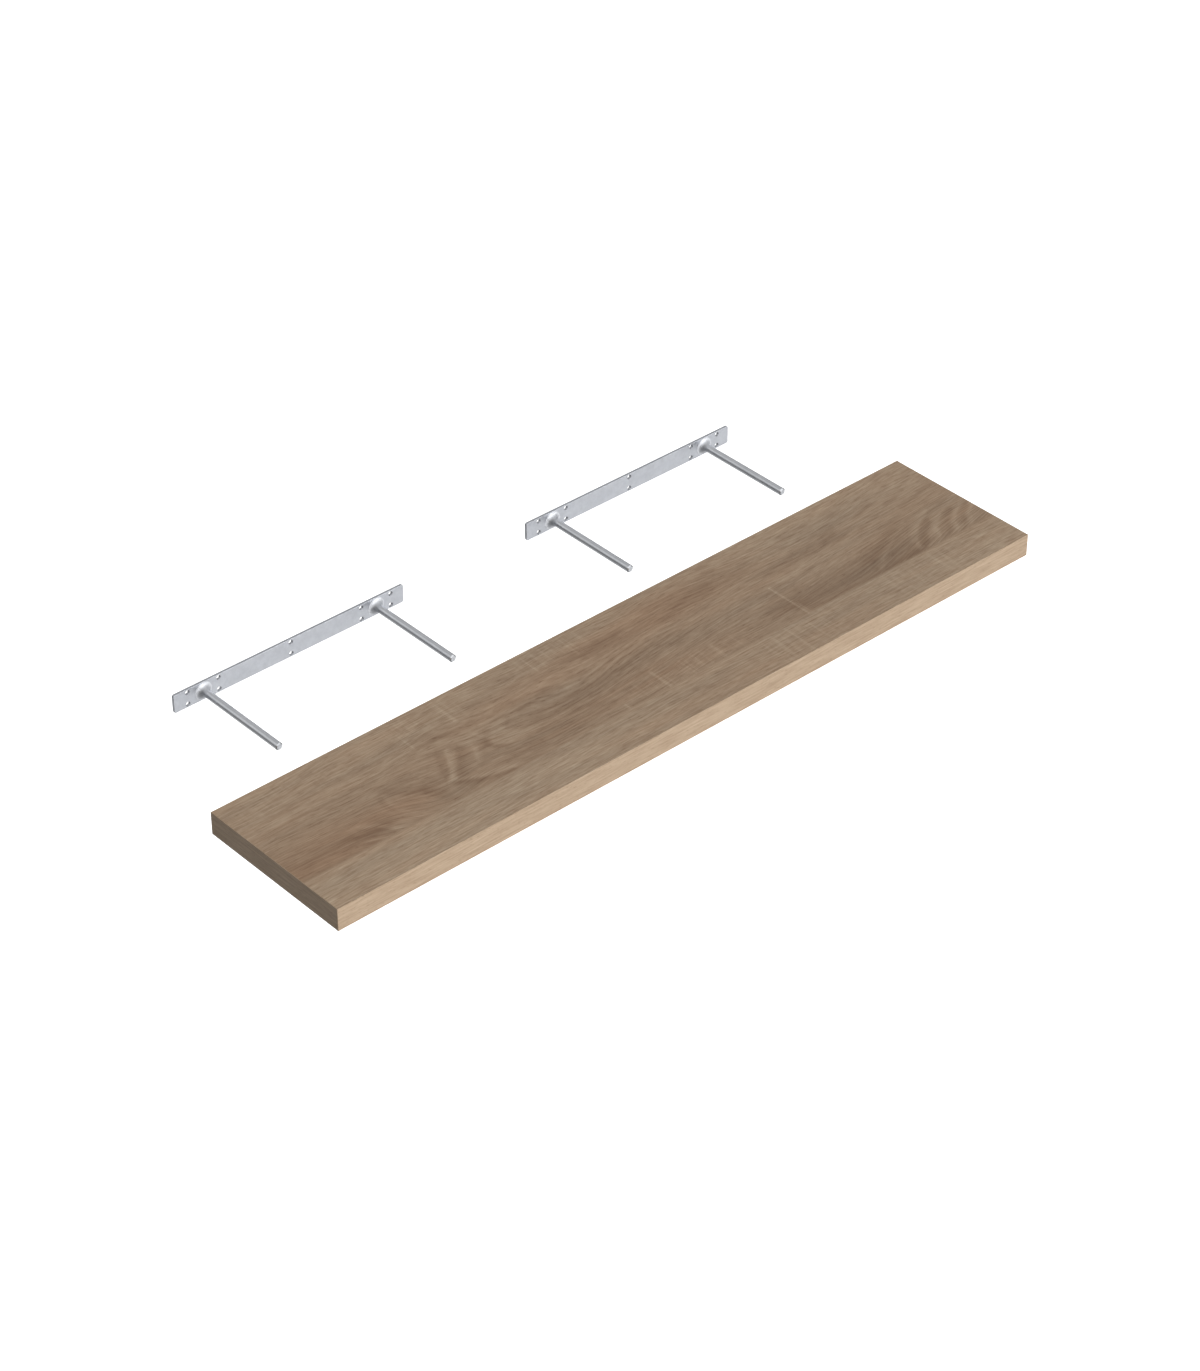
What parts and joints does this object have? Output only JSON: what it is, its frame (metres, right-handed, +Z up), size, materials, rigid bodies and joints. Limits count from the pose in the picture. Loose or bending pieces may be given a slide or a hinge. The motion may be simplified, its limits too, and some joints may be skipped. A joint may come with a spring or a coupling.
{
  "type": "floating wall shelf",
  "caption": "Wood-look hollow-core wall shelf drawn forward off two concealed brackets, each a steel plate with a pair of rods that the shelf slides onto.",
  "frame": {"origin": "on the wall plane (the plates' back faces), midway along the shelf, at the height of the rods' axes, which is also the middle of the shelf's thickness", "axes": "+X along the shelf to the right as seen from the room, +Y into the wall, +Z up"},
  "size_m": [1.2, 0.482, 0.034],
  "materials": {
    "zinc_steel": "bright zinc plated, satin",
    "decor_board": "thin hardboard with a sawn-oak decor, matt melamine face",
    "edge_band": "light oak decor, matt",
    "particleboard": "raw, sawn",
    "paper_core": "kraft paper"
  },
  "bodies": {
    "brackets": {"left_plate": "zinc_steel", "right_plate": "zinc_steel", "left_outer_rod": "zinc_steel", "left_inner_rod": "zinc_steel", "right_inner_rod": "zinc_steel", "right_outer_rod": "zinc_steel"},
    "shelf": {"top_skin": "decor_board", "bottom_skin": "decor_board", "front_band": "edge_band", "left_band": "edge_band", "right_band": "edge_band", "back_rail": "particleboard", "front_rail": "particleboard", "left_end_rail": "particleboard", "right_end_rail": "particleboard", "centre_rail": "particleboard", "left_outer_rod_rail": "particleboard", "left_inner_rod_rail": "particleboard", "right_inner_rod_rail": "particleboard", "right_outer_rod_rail": "particleboard", "honeycomb_1": "paper_core", "honeycomb_2": "paper_core", "honeycomb_3": "paper_core", "honeycomb_4": "paper_core", "honeycomb_5": "paper_core", "honeycomb_6": "paper_core"}
  },
  "joints": [
    {"name": "shelf_slide", "type": "slide", "parent": "brackets", "child": "shelf", "axis": [0, 1, 0], "range_m": [0, 0.232]}
  ]
}
